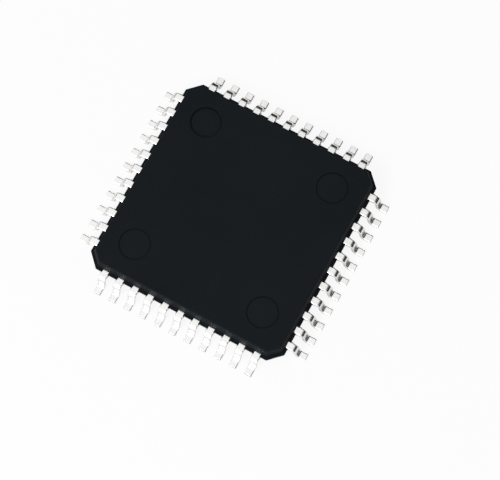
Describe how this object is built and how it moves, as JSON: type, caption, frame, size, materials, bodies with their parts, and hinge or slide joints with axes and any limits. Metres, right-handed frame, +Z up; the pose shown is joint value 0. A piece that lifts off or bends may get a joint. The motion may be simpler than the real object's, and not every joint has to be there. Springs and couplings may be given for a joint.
{
  "type": "microcontroller",
  "caption": "Square low-profile quad flat pack microcontroller: black moulded body with cut corners and gull-wing leads on all four sides.",
  "frame": {"origin": "centre of the pack on the plane of its feet", "axes": "+Z up out of the marked top face, +X and +Y square to two sides of the body; lead 1 is beside the corner at -X +Y"},
  "size_m": [0.012, 0.012, 0.0015],
  "materials": {
    "mould_compound": "matte moulded epoxy compound",
    "lead_tin": "matte tin plating on copper alloy",
    "paddle_silver": "spot silver plating on copper alloy",
    "attach_epoxy": "silver-filled epoxy",
    "silicon": "polished silicon",
    "wire_gold": "drawn gold wire"
  },
  "bodies": {
    "root": {"body": "mould_compound", "die_paddle": "paddle_silver", "die_attach": "attach_epoxy", "die": "silicon", "bond_wires": "wire_gold", "lead_1": "lead_tin", "lead_2": "lead_tin", "lead_3": "lead_tin", "lead_4": "lead_tin", "lead_5": "lead_tin", "lead_6": "lead_tin", "lead_7": "lead_tin", "lead_8": "lead_tin", "lead_9": "lead_tin", "lead_10": "lead_tin", "lead_11": "lead_tin", "lead_12": "lead_tin", "lead_13": "lead_tin", "lead_14": "lead_tin", "lead_15": "lead_tin", "lead_16": "lead_tin", "lead_17": "lead_tin", "lead_18": "lead_tin", "lead_19": "lead_tin", "lead_20": "lead_tin", "lead_21": "lead_tin", "lead_22": "lead_tin", "lead_23": "lead_tin", "lead_24": "lead_tin", "lead_25": "lead_tin", "lead_26": "lead_tin", "lead_27": "lead_tin", "lead_28": "lead_tin", "lead_29": "lead_tin", "lead_30": "lead_tin", "lead_31": "lead_tin", "lead_32": "lead_tin", "lead_33": "lead_tin", "lead_34": "lead_tin", "lead_35": "lead_tin", "lead_36": "lead_tin", "lead_37": "lead_tin", "lead_38": "lead_tin", "lead_39": "lead_tin", "lead_40": "lead_tin", "lead_41": "lead_tin", "lead_42": "lead_tin", "lead_43": "lead_tin", "lead_44": "lead_tin"}
  },
  "joints": []
}
